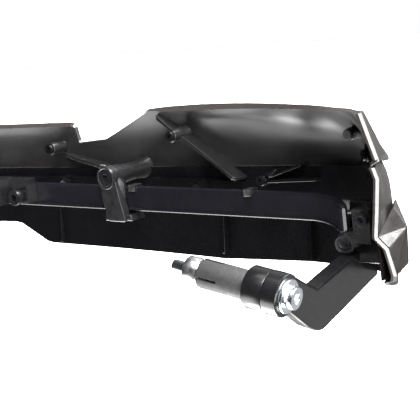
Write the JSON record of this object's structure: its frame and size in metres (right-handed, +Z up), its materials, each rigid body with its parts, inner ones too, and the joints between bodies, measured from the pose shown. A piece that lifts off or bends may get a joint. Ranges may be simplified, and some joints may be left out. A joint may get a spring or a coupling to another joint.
{
  "type": "motorcycle hand guard",
  "caption": "Right hand guard for a handlebar: curved upper and lower shells on a bent rail, held by a cranked bar-end arm and an inboard split clamp.",
  "frame": {"origin": "centre of the handlebar's end face, on the bar's axis, where the spacer seats", "axes": "+X outboard along the guard's rail, +Y forward, +Z up; the bar's axis runs outboard along (0.980, 0.085, -0.181)"},
  "size_m": [0.3312, 0.1487, 0.1027],
  "materials": {
    "shell_upper": "fine-grained moulded, satin inside",
    "shell_lower": "moulded, satin",
    "panel": "fine-grained",
    "bracket": "glass-filled, satin",
    "rail_black": "smooth black, semi-gloss",
    "arm_black": "semi-gloss black",
    "zinc": "bright zinc",
    "screw_black": "black oxide",
    "clip_steel": "spring steel",
    "insert_brass": "plain",
    "sleeve": "matte",
    "cone": "turned",
    "shim": "plain"
  },
  "bodies": {
    "root": {"upper_shell": "shell_upper", "lower_shell": "shell_lower", "cover_panel": "panel", "cover_screws": "screw_black", "seam_screws": "screw_black", "rail": "rail_black", "rail_bracket": "bracket", "bracket_screw": "screw_black", "bracket_insert": "insert_brass", "rail_clips": "clip_steel", "end_bracket": "bracket", "end_bracket_screw": "screw_black", "flange_screw": "screw_black", "tab_bolt": "screw_black", "end_arm": "arm_black", "washer": "zinc", "end_bolt": "zinc", "end_spacer": "arm_black", "expander_sleeve": "sleeve", "expander_cone": "cone", "clamp_arm": "arm_black", "clamp_arm_bolts": "screw_black", "clamp_arm_nuts": "zinc", "clamp_cap": "arm_black", "clamp_bolts": "screw_black", "clamp_shim": "shim"}
  },
  "joints": []
}
